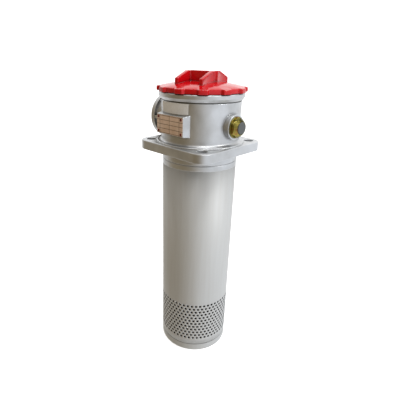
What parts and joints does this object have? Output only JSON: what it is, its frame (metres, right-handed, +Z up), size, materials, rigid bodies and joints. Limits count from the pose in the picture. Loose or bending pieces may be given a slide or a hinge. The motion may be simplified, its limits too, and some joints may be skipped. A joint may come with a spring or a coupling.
{
  "type": "return line filter",
  "caption": "Tank-top hydraulic return line filter: flanged cast head with a side inlet, red screw cap with an H grip, and a long tube whose foot is a perforated diffuser.",
  "frame": {"origin": "centre of the square flange's seating face, on the axis of the tube", "axes": "+Z up through the screw cap along the tube's axis; -X out of the inlet port; +X out of the gauge port; -Y out of the nameplate"},
  "size_m": [0.1332, 0.12, 0.4058],
  "materials": {
    "cast_head": "satin silver paint on an aluminium casting",
    "tube": "satin drawn tube",
    "end_cap": "satin pressed cap",
    "seal": "moulded nitrile",
    "red_cap": "glossy moulded nylon",
    "zinc_plug": "yellow-passivated zinc plate",
    "washer": "zinc-plated sealing washer",
    "grey_plastic": "moulded dark grey",
    "nameplate": "thin printed plate with a bare field",
    "rivets": "dark red lacquered rivets",
    "label": "matt paper, bare",
    "element_plastic": "moulded glass-filled nylon",
    "media": "pleated glass-fibre paper",
    "sleeve": "zinc-plated slotted sheet",
    "element_steel": "zinc-plated pressing",
    "valve_steel": "turned steel",
    "spring_steel": "hard-drawn spring wire"
  },
  "bodies": {
    "head": {"filter_head": "cast_head", "immersion_tube": "tube", "tube_end_cap": "end_cap", "tube_seal": "seal", "gauge_plug": "zinc_plug", "gauge_plug_washer": "washer", "gauge_plug_cap": "grey_plastic", "nameplate": "nameplate", "nameplate_rivets": "rivets", "paper_label": "label", "element_top_cap": "element_plastic", "element_seal": "seal", "pleated_media": "media", "element_sleeve": "sleeve", "element_bottom_cap": "element_steel", "bypass_cage": "element_steel", "bypass_spring": "spring_steel", "hold_down_spring": "spring_steel"},
    "cap_carrier": {"cap_seal": "seal"},
    "cap": {"screw_cap": "red_cap"},
    "poppet": {"bypass_poppet": "valve_steel"}
  },
  "joints": [
    {"name": "cap_rise", "type": "slide", "parent": "head", "child": "cap_carrier", "axis": [0, 0, 1], "range_m": [0, 0.01205]},
    {"name": "cap_turn", "type": "hinge", "parent": "cap_carrier", "child": "cap", "pos_m": [0, 0, 0.07], "axis": [0, 0, 1], "range_deg": [0, 1080]},
    {"name": "bypass_open", "type": "slide", "parent": "head", "child": "poppet", "axis": [0, 0, -1], "range_m": [0, 0.007], "stiffness_N_per_m": 3000, "springref_m": -0.0266, "deforming": ["bypass_spring"]}
  ],
  "couplings": [
    {"joint": "cap_rise", "follows": "cap_turn", "m_per_rad": 0.00063662}
  ]
}
